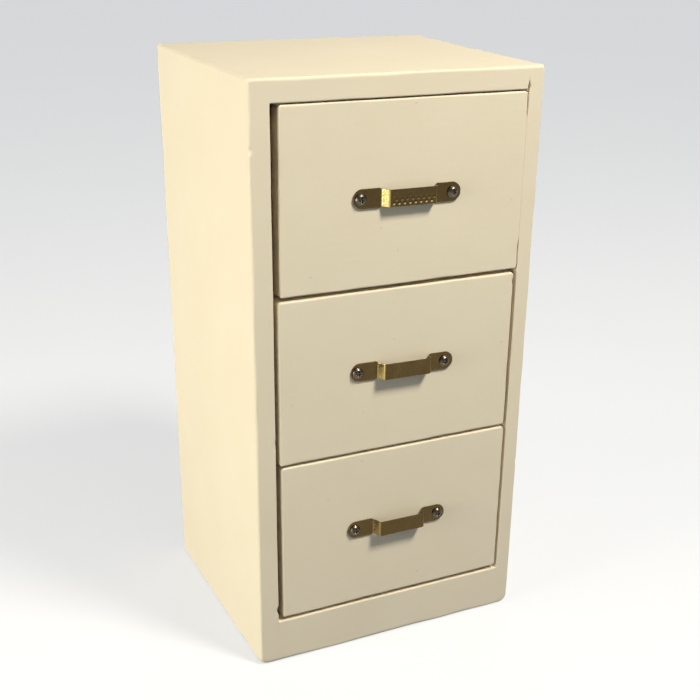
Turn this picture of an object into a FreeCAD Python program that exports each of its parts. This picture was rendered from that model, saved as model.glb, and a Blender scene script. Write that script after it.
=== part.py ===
"""Miniature three-drawer chest in 1:12 scale: a butt-jointed board carcass and three pull-out drawers.

Units are millimetres. +X is to the right of somebody facing the drawers, +Y runs from the drawer
fronts to the back, and +Z is up. The origin is on the floor, under the middle of the whole object's
outline, pulls included. Every board, pull and screw is one solid, in a STEP file of its own.
"""

import FreeCAD
import Part

import math
import os

# ---- Carcass -------------------------------------------------------------------------------------
WIDTH = 40.3
DEPTH = 35.25
HEIGHT = 80.0
LEFT_SIDE_THICK = 2.8
RIGHT_SIDE_THICK = 2.25
TOP_THICK = 2.95
PLINTH_HEIGHT = 6.5
PLINTH_THICK = 2.8
FLOOR_THICK = 2.5
DIVIDER_THICK = 1.2
BACK_THICK = 1.5
CARCASS_ROUND = 0.35  # paint-softened radius of the carcass's outer edges

# ---- Drawers, listed from the bottom one to the top one ------------------------------------------
DRAWER_NAMES = ["bottom", "middle", "top"]
FRONT_HEIGHTS = [23.05, 22.55, 23.4]
GAPS_UNDER_FRONT = [0.5, 0.35, 0.5]
SHIFTS_RIGHT = [0.165, 0.06, 0.4]  # of each hand-fitted drawer, from the middle of the opening
FRONT_WIDTHS = [34.3, 34.35, 34.35]
FRONT_THICK = 2.5
FRONT_ROUND = 0.3
BOX_WIDTH = 33.9
BOX_SIDE_HEIGHT = 21.3
BOX_BACK_HEIGHT = 19.5
BOX_BOARD_THICK = 1.5
BOX_BOTTOM_THICK = 1.0
BOX_EDGE_ROUND = 0.12
SLIDE_GAP = 0.05  # between a drawer box and the board that it slides on
REAR_GAP = 0.2  # between a closed drawer and the back panel

# ---- Strap pulls, bent and fixed by hand, so each differs a little -------------------------------
PULL_LENGTH = 15.15
FOOT_WIDTH = 2.5
GRIP_WIDTH = 2.2
STRAP_THICK = 0.2
PULL_STANDOFFS = [1.52, 1.38, 1.1]  # from the drawer front to the outer face of the grip
FOOT_BENDS = (-3.68, 3.92)  # where the strap's middle line leaves each foot, from the pull's middle
RISER_RUNS = [(0.55, 0.31), (0.53, 0.3), (0.78, 0.27)]  # how far each riser leans in, left and right
PULL_SHIFTS = [(0.12, 0.05), (0.46, 0.28), (0.13, -0.2)]  # right and up, from the front's middle
PULL_TILTS = [0.35, 0.95, 0.4]  # degrees, right-hand foot down
BEND_RADIUS = 0.3  # of the strap's middle line
WAIST_LENGTH = 0.3  # over which the strap narrows from foot width to grip width
STRAP_HOLE_RADIUS = 0.5
HOLE_SPACING = 12.95
HOLE_SHIFTS = [-0.05, -0.2, -0.1]  # of each pull's pair of holes, right of the pull's middle

# ---- Cross-recess round-head screws --------------------------------------------------------------
HEAD_RADIUS = 0.76
HEAD_RIM = 0.12
HEAD_HEIGHT = 0.56
CORE_RADIUS = 0.33
THREAD_RADIUS = 0.44
THREAD_PITCH = 0.4
THREAD_TURNS = 4
PLAIN_SHANK = 0.3
TIP_LENGTH = 0.45
RECESS_LENGTH = 0.9
RECESS_WIDTH = 0.2
RECESS_DEPTH = 0.3

# ---- Worked out from the sizes above -------------------------------------------------------------
FRONT_Y = (max(PULL_STANDOFFS) - DEPTH) / 2.0  # plane of the carcass's and the drawers' fronts
BACK_Y = FRONT_Y + DEPTH
INSIDE_BACK_Y = BACK_Y - BACK_THICK
OPENING_LEFT = LEFT_SIDE_THICK - WIDTH / 2.0
OPENING_RIGHT = WIDTH / 2.0 - RIGHT_SIDE_THICK
OPENING_MIDDLE = (OPENING_LEFT + OPENING_RIGHT) / 2.0
SHELF_Y = FRONT_Y + PLINTH_THICK  # front edge of the floor and the dividers
BOX_FRONT_Y = FRONT_Y + FRONT_THICK
BOX_BACK_Y = INSIDE_BACK_Y - REAR_GAP
TINY = 1e-4


def vec(x, y, z):
    return FreeCAD.Vector(x, y, z)


def board(x0, x1, y0, y1, z0, z1):
    """A plain board between two opposite corners."""
    return Part.makeBox(x1 - x0, y1 - y0, z1 - z0, vec(x0, y0, z0))


def planes_holding(edge, planes):
    """How many of the given (axis, position) planes an edge lies in."""
    count = 0
    for axis, position in planes:
        if all(abs(getattr(v.Point, axis) - position) < TINY for v in edge.Vertexes):
            count += 1
    return count


def round_edges(shape, planes, radius):
    """Rounds every edge that lies where two of the given planes meet."""
    edges = [e for e in shape.Edges if planes_holding(e, planes) == 2]
    return shape.makeFillet(radius, edges)


OUTER_PLANES = [
    ("x", -WIDTH / 2.0),
    ("x", WIDTH / 2.0),
    ("y", FRONT_Y),
    ("y", BACK_Y),
    ("z", 0.0),
    ("z", HEIGHT),
]


# ---- Layout of the drawers -----------------------------------------------------------------------


def drawer_layout():
    """What differs between the drawers: heights, sideways place, and how the pull is bent and fixed."""
    rows = []
    z = PLINTH_HEIGHT
    for i, name in enumerate(DRAWER_NAMES):
        gap = GAPS_UNDER_FRONT[i]
        gap_middle = z + gap / 2.0
        front_low = z + gap
        front_high = front_low + FRONT_HEIGHTS[i]
        rows.append(
            {
                "name": name,
                "front_low": front_low,
                "front_high": front_high,
                "shelf_top": gap_middle + DIVIDER_THICK / 2.0,
                "middle": OPENING_MIDDLE + SHIFTS_RIGHT[i],
                "front_width": FRONT_WIDTHS[i],
                "standoff": PULL_STANDOFFS[i],
                "riser_runs": RISER_RUNS[i],
                "pull_shift": PULL_SHIFTS[i],
                "pull_tilt": PULL_TILTS[i],
                "holes_x": [HOLE_SHIFTS[i] - HOLE_SPACING / 2.0, HOLE_SHIFTS[i] + HOLE_SPACING / 2.0],
            }
        )
        z = front_high
    return rows


# ---- Carcass boards ------------------------------------------------------------------------------


def carcass_boards(layout):
    """The carcass: two full-height sides with everything else butted between them."""
    half = WIDTH / 2.0
    top_under = HEIGHT - TOP_THICK
    floor_top = layout[0]["shelf_top"]
    boards = {
        "side_panel_left": board(-half, OPENING_LEFT, FRONT_Y, BACK_Y, 0.0, HEIGHT),
        "side_panel_right": board(OPENING_RIGHT, half, FRONT_Y, BACK_Y, 0.0, HEIGHT),
        "top_panel": board(OPENING_LEFT, OPENING_RIGHT, FRONT_Y, BACK_Y, top_under, HEIGHT),
        "plinth_rail": board(OPENING_LEFT, OPENING_RIGHT, FRONT_Y, SHELF_Y, 0.0, PLINTH_HEIGHT),
        "back_panel": board(OPENING_LEFT, OPENING_RIGHT, INSIDE_BACK_Y, BACK_Y, 0.0, top_under),
    }
    boards = {name: round_edges(s, OUTER_PLANES, CARCASS_ROUND) for name, s in boards.items()}
    boards["floor_panel"] = shelf(floor_top, FLOOR_THICK)
    for row, name in zip(layout[1:], ["divider_lower", "divider_upper"]):
        boards[name] = shelf(row["shelf_top"], DIVIDER_THICK)
    return boards


def shelf(top, thick):
    """A shelf behind the drawer fronts, from side to side and back to the back panel."""
    return board(OPENING_LEFT, OPENING_RIGHT, SHELF_Y, INSIDE_BACK_Y, top - thick, top)


# ---- Drawer boards -------------------------------------------------------------------------------


def drawer_boards(row):
    """One drawer: a thick front glued to an open box of thin boards."""
    prefix = row["name"] + "_drawer_"
    middle = row["middle"]
    half_front = row["front_width"] / 2.0
    half_box = BOX_WIDTH / 2.0
    inner = half_box - BOX_BOARD_THICK
    low = row["shelf_top"] + SLIDE_GAP
    high = low + BOX_SIDE_HEIGHT
    bottom_top = low + BOX_BOTTOM_THICK
    back_inner_y = BOX_BACK_Y - BOX_BOARD_THICK

    front = board(
        middle - half_front,
        middle + half_front,
        FRONT_Y,
        BOX_FRONT_Y,
        row["front_low"],
        row["front_high"],
    )
    front_planes = [
        ("x", middle - half_front),
        ("x", middle + half_front),
        ("y", FRONT_Y),
        ("z", row["front_low"]),
        ("z", row["front_high"]),
    ]
    front = round_edges(front, front_planes, FRONT_ROUND)
    for screw in screws(row):
        front = front.cut(screw)

    side_left = board(middle - half_box, middle - inner, BOX_FRONT_Y, BOX_BACK_Y, low, high)
    side_right = board(middle + inner, middle + half_box, BOX_FRONT_Y, BOX_BACK_Y, low, high)
    back_high = bottom_top + BOX_BACK_HEIGHT
    back = board(middle - inner, middle + inner, back_inner_y, BOX_BACK_Y, bottom_top, back_high)
    bottom = board(middle - inner, middle + inner, BOX_FRONT_Y, BOX_BACK_Y, low, bottom_top)
    return {
        prefix + "front": front,
        prefix + "side_left": soften_top(side_left, high),
        prefix + "side_right": soften_top(side_right, high),
        prefix + "back": soften_top(back, back_high),
        prefix + "base": bottom,
    }


def soften_top(shape, top):
    """Sands the long top edges of a thin upright board."""
    edges = [e for e in shape.Edges if planes_holding(e, [("z", top)]) == 1]
    longest = max(e.Length for e in edges)
    edges = [e for e in edges if e.Length > longest / 2.0]
    return shape.makeFillet(BOX_EDGE_ROUND, edges)


# ---- Pulls and screws ----------------------------------------------------------------------------


def pull_middle(row):
    """Middle of a pull's back face, which lies on the drawer front."""
    right, up = row["pull_shift"]
    return vec(row["middle"] + right, FRONT_Y, (row["front_low"] + row["front_high"]) / 2.0 + up)


def fix_to_front(shape, row):
    """Tilts and moves a shape made about a pull's own middle to its place on the drawer front."""
    shape.rotate(vec(0, 0, 0), vec(0, 1, 0), row["pull_tilt"])
    shape.translate(pull_middle(row))
    return shape


def offset_path(points, radius, offset):
    """Edges of a bent line moved sideways: straight runs joined by tangent arcs, in the XY plane."""
    edges = []
    run_start = None
    for i in range(1, len(points) - 1):
        before = (points[i] - points[i - 1]).normalize()
        after = (points[i + 1] - points[i]).normalize()
        turn = before.x * after.y - before.y * after.x
        sign = 1.0 if turn > 0 else -1.0
        angle = before.getAngle(after)
        setback = radius * math.tan(angle / 2.0)
        normal_in = vec(-before.y, before.x, 0) * sign
        normal_out = vec(-after.y, after.x, 0) * sign
        tangent_in = points[i] - before * setback
        tangent_out = points[i] + after * setback
        centre = tangent_in + normal_in * radius
        arc_radius = radius - sign * offset
        arc_start = centre - normal_in * arc_radius
        arc_end = centre - normal_out * arc_radius
        arc_middle = centre - (normal_in + normal_out).normalize() * arc_radius
        if run_start is None:
            run_start = points[0] + vec(-before.y, before.x, 0) * offset
        edges.append(Part.LineSegment(run_start, arc_start).toShape())
        edges.append(Part.Arc(arc_start, arc_middle, arc_end).toShape())
        run_start = arc_end
    last = (points[-1] - points[-2]).normalize()
    edges.append(Part.LineSegment(run_start, points[-1] + vec(-last.y, last.x, 0) * offset).toShape())
    return edges


def strap_ribbon(row):
    """The bent strap before its ends and waist are cut: its bent profile, full width along Z."""
    foot_y = -STRAP_THICK / 2.0
    grip_y = -row["standoff"] + STRAP_THICK / 2.0
    end_x = PULL_LENGTH / 2.0
    left_bend, right_bend = FOOT_BENDS
    left_run, right_run = row["riser_runs"]
    middle_line = [
        vec(-end_x, foot_y, 0),
        vec(left_bend, foot_y, 0),
        vec(left_bend + left_run, grip_y, 0),
        vec(right_bend - right_run, grip_y, 0),
        vec(right_bend, foot_y, 0),
        vec(end_x, foot_y, 0),
    ]
    half = STRAP_THICK / 2.0
    outer = offset_path(middle_line, BEND_RADIUS, -half)
    inner = offset_path(middle_line, BEND_RADIUS, half)
    first, last = vec(-end_x, 0, 0), vec(end_x, 0, 0)
    ends = [
        Part.LineSegment(vec(-end_x, -STRAP_THICK, 0), first).toShape(),
        Part.LineSegment(vec(end_x, -STRAP_THICK, 0), last).toShape(),
    ]
    wire = Part.Wire(Part.__sortEdges__(outer + inner + ends))
    face = Part.Face(wire)
    face.translate(vec(0, 0, -FOOT_WIDTH / 2.0))
    return face.extrude(vec(0, 0, FOOT_WIDTH))


def strap_outline():
    """The strap's outline from the front, with round ends and a narrower grip, run through in Y."""
    foot = FOOT_WIDTH / 2.0
    grip = GRIP_WIDTH / 2.0
    left_bend, right_bend = FOOT_BENDS
    end_centre_x = PULL_LENGTH / 2.0 - foot
    top = [
        vec(-end_centre_x, 0, foot),
        vec(left_bend - WAIST_LENGTH, 0, foot),
        vec(left_bend, 0, grip),
        vec(right_bend, 0, grip),
        vec(right_bend + WAIST_LENGTH, 0, foot),
        vec(end_centre_x, 0, foot),
    ]
    under = [vec(p.x, 0, -p.z) for p in top]
    edges = [Part.LineSegment(a, b).toShape() for a, b in zip(top, top[1:])]
    edges += [Part.LineSegment(a, b).toShape() for a, b in zip(under, under[1:])]
    for sign in (-1.0, 1.0):
        centre_x = sign * end_centre_x
        tip = vec(centre_x + sign * foot, 0, 0)
        edges.append(Part.Arc(vec(centre_x, 0, foot), tip, vec(centre_x, 0, -foot)).toShape())
    face = Part.Face(Part.Wire(Part.__sortEdges__(edges)))
    reach = 2.0 * max(PULL_STANDOFFS)
    face.translate(vec(0, -reach, 0))
    return face.extrude(vec(0, 2.0 * reach, 0))


def make_pull(row):
    """A strap pull about its own middle, with a clearance hole in each foot."""
    pull = strap_ribbon(row).common(strap_outline())
    for x in row["holes_x"]:
        hole = Part.makeCylinder(STRAP_HOLE_RADIUS, 2.0, vec(x, -1.0, 0), vec(0, 1, 0))
        pull = pull.cut(hole)
    return pull.Solids[0]


def screw_profile():
    """Half of a screw's lengthwise section as (radius, depth) points; depth 0 is under the head."""
    points = [(CORE_RADIUS, PLAIN_SHANK)]
    depth = PLAIN_SHANK
    for _ in range(THREAD_TURNS):
        points.append((THREAD_RADIUS, depth + THREAD_PITCH / 2.0))
        depth += THREAD_PITCH
        points.append((CORE_RADIUS, depth))
    points.append((0.0, depth + TIP_LENGTH))
    return points


def make_screw():
    """A round-head screw along +Y, with the underside of its head at y = 0."""
    rim = vec(HEAD_RADIUS, -HEAD_RIM, 0)
    crown = vec(0, -HEAD_HEIGHT, 0)
    rise = HEAD_HEIGHT - HEAD_RIM
    dome_radius = (HEAD_RADIUS**2 + rise**2) / (2.0 * rise)
    half_turn = math.asin(HEAD_RADIUS / dome_radius) / 2.0
    dome_x = dome_radius * math.sin(half_turn)
    dome_y = -HEAD_HEIGHT + dome_radius * (1.0 - math.cos(half_turn))
    edges = [Part.Arc(crown, vec(dome_x, dome_y, 0), rim).toShape()]
    corners = [rim, vec(HEAD_RADIUS, 0, 0), vec(CORE_RADIUS, 0, 0)]
    corners += [vec(r, depth, 0) for r, depth in screw_profile()]
    corners.append(crown)
    edges += [Part.LineSegment(a, b).toShape() for a, b in zip(corners, corners[1:])]
    section = Part.Face(Part.Wire(Part.__sortEdges__(edges)))
    screw = section.revolve(vec(0, 0, 0), vec(0, 1, 0), 360)
    for long_x, long_z in ((RECESS_LENGTH, RECESS_WIDTH), (RECESS_WIDTH, RECESS_LENGTH)):
        corner = vec(-long_x / 2.0, -HEAD_HEIGHT - TINY, -long_z / 2.0)
        screw = screw.cut(Part.makeBox(long_x, RECESS_DEPTH, long_z, corner))
    return screw.Solids[0]


def screws(row):
    """A drawer's left and right screws, driven through its pull's feet into its front."""
    placed = []
    for x in row["holes_x"]:
        screw = make_screw()
        screw.translate(vec(x, -STRAP_THICK, 0))
        placed.append(fix_to_front(screw, row))
    return placed


def drawer_hardware(row):
    """One drawer's pull and its two screws."""
    prefix = row["name"] + "_drawer_"
    pull = fix_to_front(make_pull(row), row)
    screw_left, screw_right = screws(row)
    return {
        prefix + "pull": pull,
        prefix + "screw_left": screw_left,
        prefix + "screw_right": screw_right,
    }


def main():
    os.makedirs("parts", exist_ok=True)
    layout = drawer_layout()
    solids = carcass_boards(layout)
    for row in layout:
        solids.update(drawer_boards(row))
        solids.update(drawer_hardware(row))
    for name, shape in solids.items():
        if not shape.isValid() or len(shape.Solids) != 1:
            raise RuntimeError(name + " is not one valid solid")
        shape.exportStep("parts/" + name + ".step")
        box = shape.BoundBox
        print(
            f"{name}: {shape.Volume:.2f} mm3, x {box.XMin:.2f} {box.XMax:.2f},"
            f" y {box.YMin:.2f} {box.YMax:.2f}, z {box.ZMin:.2f} {box.ZMax:.2f}"
        )


main()
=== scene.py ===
"""Looks for the miniature chest: brushed cream paint, bare drawer boxes and stamped brass pulls.

Lengths are millimetres until a mesh is made, which is in metres. Every piece sits at the origin of
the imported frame, so a piece's own coordinates are the frame's.
"""

import math

import bpy
import numpy as np
from mathutils import Matrix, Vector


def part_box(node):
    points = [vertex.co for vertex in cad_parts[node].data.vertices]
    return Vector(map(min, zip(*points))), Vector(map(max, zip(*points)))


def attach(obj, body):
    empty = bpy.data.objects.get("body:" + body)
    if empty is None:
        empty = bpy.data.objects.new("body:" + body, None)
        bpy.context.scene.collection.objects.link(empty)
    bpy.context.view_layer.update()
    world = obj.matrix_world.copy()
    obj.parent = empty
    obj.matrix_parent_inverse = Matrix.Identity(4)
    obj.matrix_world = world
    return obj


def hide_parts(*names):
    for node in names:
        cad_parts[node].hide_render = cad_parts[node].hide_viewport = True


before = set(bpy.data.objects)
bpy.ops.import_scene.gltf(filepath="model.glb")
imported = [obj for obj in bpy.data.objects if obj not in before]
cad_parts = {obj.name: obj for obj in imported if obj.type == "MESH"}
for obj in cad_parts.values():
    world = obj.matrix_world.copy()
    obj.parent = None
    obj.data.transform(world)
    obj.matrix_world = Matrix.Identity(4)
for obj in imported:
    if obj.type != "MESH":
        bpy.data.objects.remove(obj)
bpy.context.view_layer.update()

MM = 0.001
AXES = "xyz"
TINY = 0.001
SINK_BAND = 0.5  # how far behind a sunken side its neighbours give way too
SHARP_ANGLE = 42.0  # edges bent by more than this stay crisp, so that closed joints leave no line
CELL_PRIMES = (374761393, 668265263, 2147483647)
SEED_PRIME = 974711
MIX_PRIME = 1274126177
SEED_STEP = 0.37  # how far one seed's noise is shifted from the next one's, in cells
FULLY_PAINTED = -3.0  # a value of the attribute "bare" that no ragged edge reaches
TIGHT_EASE = 1.5  # over which the nearly closed stretch of the right gap begins and ends


# ---- Noise and easing ----------------------------------------------------------------------------


def hashed(cells, seed):
    """A repeatable number from -1 to 1 for each whole-number cell."""
    a, b, c = CELL_PRIMES
    h = cells[:, 0] * a + cells[:, 1] * b + cells[:, 2] * c + seed * SEED_PRIME
    h = (h ^ (h >> 13)) * MIX_PRIME
    h = h ^ (h >> 16)
    return (h & 0xFFFF) / 32767.5 - 1.0


def smooth(t):
    """The usual S-curve from 0 to 1."""
    return t * t * (3.0 - 2.0 * t)


def wobble(points, size, seed):
    """Smooth noise from -1 to 1, with features about size across."""
    scaled = np.asarray(points, float) / size + SEED_STEP * seed
    cell = np.floor(scaled).astype(np.int64)
    part = smooth(scaled - cell)
    total = np.zeros(len(scaled))
    for corner in np.ndindex(2, 2, 2):
        weight = np.prod(np.where(corner, part, 1.0 - part), axis=1)
        total += weight * hashed(cell + corner, seed)
    return total


def wobble_along(places, size, seed):
    """The same noise along a line."""
    places = np.asarray(places, float)
    return wobble(np.stack([places, places * 0.0 + seed, places * 0.0], axis=1), size, seed)


def ease(value, low, high):
    """0 below low, 1 above high and a smooth rise between them."""
    return smooth(np.clip((value - low) / (high - low), 0.0, 1.0))


def within(value, low, high, soft):
    """0 outside low and high, rising smoothly to 1 over a distance soft inside each of them."""
    return ease(value, low, low + soft) * (1.0 - ease(value, high - soft, high))


# ---- Meshes --------------------------------------------------------------------------------------


def make_piece(name, points, faces, body, replaces, slot, material, attributes):
    """Turns points in mm and faces into a smooth-shaded piece that rides on a CAD body."""
    mesh = bpy.data.meshes.new(name)
    mesh.from_pydata((np.asarray(points) * MM).tolist(), [], faces)
    for key, values in attributes.items():
        layer = mesh.attributes.new(key, "FLOAT", "POINT")
        layer.data.foreach_set("value", np.asarray(values, dtype=np.float32))
    mesh.shade_smooth()
    mesh.set_sharp_from_angle(angle=math.radians(SHARP_ANGLE))
    mesh.update()
    piece = bpy.data.objects.new(name, mesh)
    bpy.context.scene.collection.objects.link(piece)
    mesh.materials.append(material)
    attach(piece, body)
    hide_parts(*replaces)


EDGE_STOPS = (0.0, 0.02, 0.05, 0.09, 0.14, 0.2, 0.27, 0.36, 0.48, 0.65)


def stops_between(low, high, step, extra=()):
    """Places along one side of a board: crowded where its edges are rounded, even in the middle."""
    near = np.array([s for s in EDGE_STOPS if s < (high - low) / 2.0])
    count = max(2, math.ceil((high - low - 2.0 * near[-1]) / step) + 1)
    middle = np.linspace(low + near[-1], high - near[-1], count)
    places = np.concatenate([low + near, middle, high - near, np.asarray(extra, float)])
    places = np.unique(np.round(places, 4))
    return places[(places > low - TINY) & (places < high + TINY)]


def sheet_quads(sheet, flip):
    """The quads of a grid of point numbers, turned over if flip is set."""
    quad = [sheet[:-1, :-1], sheet[1:, :-1], sheet[1:, 1:], sheet[:-1, 1:]]
    if flip:
        quad.reverse()
    return np.stack([q.ravel() for q in quad], axis=1)


def lattice_box(stops):
    """The surface of a box on a lattice: points, quads and each point's place in the lattice."""
    counts = [len(s) for s in stops]
    places = np.stack(np.meshgrid(*[np.arange(n) for n in counts], indexing="ij"), axis=-1)
    places = places.reshape(-1, 3)
    last = np.array(counts) - 1
    on_surface = ((places == 0) | (places == last)).any(axis=1)
    number = np.full(len(places), -1)
    number[on_surface] = np.arange(on_surface.sum())
    number = number.reshape(counts)
    quads = []
    for axis in range(3):
        for end in (0, -1):
            sheet = np.take(number, end, axis=axis)
            quads.append(sheet_quads(sheet, (end == 0) == (axis != 1)))
    places = places[on_surface]
    points = np.stack([np.asarray(stops[a])[places[:, a]] for a in range(3)], axis=1)
    return points, np.concatenate(quads).tolist(), places


def round_edge(points, box, edge, radius):
    """Rounds one edge of a box, named by its two sides such as "+x-y". radius may vary along it."""
    axis_a, axis_b = AXES.index(edge[1]), AXES.index(edge[3])
    along = points[:, 3 - axis_a - axis_b]
    r = radius(along) if callable(radius) else np.full(len(points), radius)
    depth = []
    for sign, axis in ((edge[0], axis_a), (edge[2], axis_b)):
        depth.append(box[1][axis] - points[:, axis] if sign == "+" else points[:, axis] - box[0][axis])
    past = [np.clip(r - d, 0.0, None) for d in depth]
    reach = np.hypot(*past)
    shrink = np.where(reach > 0.0, np.maximum(*past) / np.where(reach > 0.0, reach, 1.0), 1.0)
    shrink = np.where((past[0] > 0.0) & (past[1] > 0.0), shrink, 1.0)
    for sign, axis, p in ((edge[0], axis_a, past[0]), (edge[2], axis_b, past[1])):
        inward = p * (1.0 - shrink)
        points[:, axis] += -inward if sign == "+" else inward


def varied(radius, seed, spread=0.3, size=4.0):
    """A radius that wanders along an edge, as hand sanding and paint leave it."""
    return lambda along: radius * (1.0 + spread * wobble_along(along, size, seed))


class Board:
    """One board, from a plain lattice box to a finished piece."""

    def __init__(self, node, step=0.6, extra=((), (), ())):
        low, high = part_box(node)
        self.node = node
        self.box = (np.array(low) / MM, np.array(high) / MM)
        stops = [stops_between(self.box[0][a], self.box[1][a], step, extra[a]) for a in range(3)]
        self.points, self.faces, self.places = lattice_box(stops)
        self.last = self.places.max(axis=0)
        self.flat = self.points.copy()

    def on(self, side):
        """Which points lie on a side such as "+x"."""
        axis = AXES.index(side[1])
        return self.places[:, axis] == (self.last[axis] if side[0] == "+" else 0)

    def round(self, edges):
        for edge, radius in edges.items():
            round_edge(self.points, self.box, edge, radius)

    def sink(self, side, depth):
        """Moves a side inwards by the depths given, and eases the points just behind it along."""
        axis = AXES.index(side[1])
        if side[0] == "+":
            behind = self.box[1][axis] - self.flat[:, axis]
            sign = -1.0
        else:
            behind = self.flat[:, axis] - self.box[0][axis]
            sign = 1.0
        self.points[:, axis] += sign * depth * np.clip(1.0 - behind / SINK_BAND, 0.0, 1.0)

    def roughen(self, sides, amount, size, seed, where=1.0):
        """Gives sides the slight waves of brushed paint or sanded wood, all below the true plane."""
        depth = where * amount * (0.5 + 0.5 * wobble(self.flat, size, seed))
        for side in sides:
            self.sink(side, depth)

    def dent(self, centre, radius, depth, direction):
        """Presses a soft dent with its deepest point at centre."""
        near = np.linalg.norm(self.flat - np.array(centre), axis=1) / radius
        push = depth * np.clip(1.0 - near**2, 0.0, None) ** 2
        self.points += push[:, None] * np.array(direction)

    def finish(self, body, slot, material, bare=None, grime_and_shade=None):
        """Makes the piece. bare, and the painted shade on drawer edges in the gaps, are values for each
        point, which the paint reads.
        """
        attributes = {
            "bare": np.full(len(self.points), FULLY_PAINTED) if bare is None else bare,
            "grime_and_shade": np.zeros(len(self.points)) if grime_and_shade is None else grime_and_shade,
        }
        name = self.node + "_skin"
        make_piece(name, self.points, self.faces, body, [self.node], slot, material, attributes)


# ---- Node helpers --------------------------------------------------------------------------------


def new_material(name):
    material = bpy.data.materials.new(name)
    material.use_nodes = True
    tree = material.node_tree
    shader = tree.nodes["Principled BSDF"]
    return material, tree, shader


def add_node(tree, kind, inputs=None, **settings):
    """Adds a node. inputs maps a socket's name or number to a value or to the socket that feeds it."""
    made = tree.nodes.new(kind)
    for key, value in settings.items():
        setattr(made, key, value)
    for key, value in (inputs or {}).items():
        if isinstance(value, bpy.types.NodeSocket):
            tree.links.new(value, made.inputs[key])
        else:
            made.inputs[key].default_value = value
    return made


def maths(tree, operation, a, b):
    return add_node(tree, "ShaderNodeMath", {0: a, 1: b}, operation=operation).outputs[0]


def remap(tree, value, low, high, to_low=0.0, to_high=1.0, smoothly=False):
    inputs = {"Value": value, "From Min": low, "From Max": high, "To Min": to_low, "To Max": to_high}
    kind = "SMOOTHSTEP" if smoothly else "LINEAR"
    return add_node(tree, "ShaderNodeMapRange", inputs, interpolation_type=kind).outputs[0]


def mix_colour(tree, factor, a, b):
    return add_node(tree, "ShaderNodeMix", {0: factor, 6: a, 7: b}, data_type="RGBA").outputs[2]


def place_mm(tree, scale=(1.0, 1.0, 1.0), shift=(0.0, 0.0, 0.0)):
    """The piece's own coordinates in millimetres, stretched and shifted."""
    place = add_node(tree, "ShaderNodeTexCoord").outputs["Object"]
    factors = tuple(s / MM for s in scale)
    inputs = {"Vector": place, "Scale": factors, "Location": shift}
    return add_node(tree, "ShaderNodeMapping", inputs).outputs[0]


def noise(tree, vector, scale, detail=2.0, roughness=0.5, distortion=0.0):
    inputs = {
        "Vector": vector,
        "Scale": scale,
        "Detail": detail,
        "Roughness": roughness,
        "Distortion": distortion,
    }
    return add_node(tree, "ShaderNodeTexNoise", inputs).outputs["Fac"]


def attribute(tree, name):
    return add_node(tree, "ShaderNodeAttribute", attribute_name=name).outputs["Fac"]


def feed(tree, shader, tone, rough, height, relief):
    """Gives a shader its colour, roughness and bumps. relief is the bumps' height in mm."""
    tree.links.new(tone, shader.inputs["Base Color"])
    tree.links.new(rough, shader.inputs["Roughness"])
    inputs = {"Height": height, "Distance": relief * MM, "Strength": 1.0}
    bumps = add_node(tree, "ShaderNodeBump", inputs)
    tree.links.new(bumps.outputs[0], shader.inputs["Normal"])


# ---- Materials -----------------------------------------------------------------------------------

CREAM = (0.80, 0.70, 0.52, 1.0)
CREAM_DEEP = (0.78, 0.677, 0.495, 1.0)
CREAM_PALE = (0.815, 0.722, 0.55, 1.0)
DUST_BROWN = (0.5, 0.38, 0.22, 1.0)
# the painted shade on the drawer fronts' left edges, inside the gap
GAP_SHADE_BROWN = (0.17, 0.12, 0.075, 1.0)
WOOD_LIGHT = (0.66, 0.46, 0.25, 1.0)
WOOD_DARK = (0.43, 0.26, 0.12, 1.0)
WOOD_PORE = (0.26, 0.15, 0.07, 1.0)
BRASS_MID = (0.112, 0.076, 0.029, 1.0)
BRASS_DARK = (0.088, 0.058, 0.024, 1.0)
BRASS_GRIME = (0.06, 0.04, 0.016, 1.0)
# the bright brass of the painted glints and reflection, and of the worn edges
BRASS_WEAR_AND_SHEEN = (0.9, 0.7, 0.27, 1.0)
NICKEL_PALE = (0.125, 0.1, 0.07, 1.0)
NICKEL_DARK = (0.085, 0.067, 0.048, 1.0)
RECESS_DIRT = (0.055, 0.046, 0.035, 1.0)
FIBRE_STRETCH = 0.06  # scales of a pattern along the grain and the brush strokes
STROKE_STRETCH = 0.12
BRASS_LINE_STRETCH = 0.08
NIB_SIZE = (0.035, 0.085)  # of the specks of dust under the paint, in cells of their pattern
NIB_CHANCE = 0.72  # cells whose random value is above this hold a speck
RAGGED_REACH = 0.9  # how far the paint's edge wanders
PAINT_STEP = 1.6  # how far the paint stands above the wood, in bump heights
PAINT_RELIEF = 0.018  # heights of the bumps in mm
WOOD_RELIEF = 0.03
BRASS_RELIEF = 0.004
NICKEL_RELIEF = 0.003
PAINT_SHEEN = 0.32
WOOD_SHEEN = 0.3


def stretched(axis, factor):
    """Mapping scales that draw a pattern out along one axis."""
    return tuple(factor if a == axis else 1.0 for a in AXES)


def wood_layers(tree, grain, shift):
    """Colour, roughness and height of bare, fine-sanded wood."""
    long_place = place_mm(tree, stretched(grain, FIBRE_STRETCH), shift)
    bands = noise(tree, long_place, 0.55, 4.0, 0.6, 0.4)
    fibres = noise(tree, long_place, 5.5, 3.0, 0.65)
    pore_scales = tuple(s * 2.0 for s in stretched(grain, FIBRE_STRETCH))
    pores = noise(tree, place_mm(tree, pore_scales, shift), 6.5, 2.0, 0.6)
    tone = mix_colour(tree, remap(tree, bands, 0.3, 0.7), WOOD_LIGHT, WOOD_DARK)
    tone = mix_colour(tree, remap(tree, fibres, 0.35, 0.8, 0.0, 0.45), tone, WOOD_DARK)
    pore_mask = remap(tree, pores, 0.66, 0.74, 0.0, 0.7)
    tone = mix_colour(tree, pore_mask, tone, WOOD_PORE)
    rough = remap(tree, fibres, 0.2, 0.8, 0.62, 0.85)
    height = maths(tree, "SUBTRACT", fibres, maths(tree, "MULTIPLY", pore_mask, 0.8))
    return tone, rough, height


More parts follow.
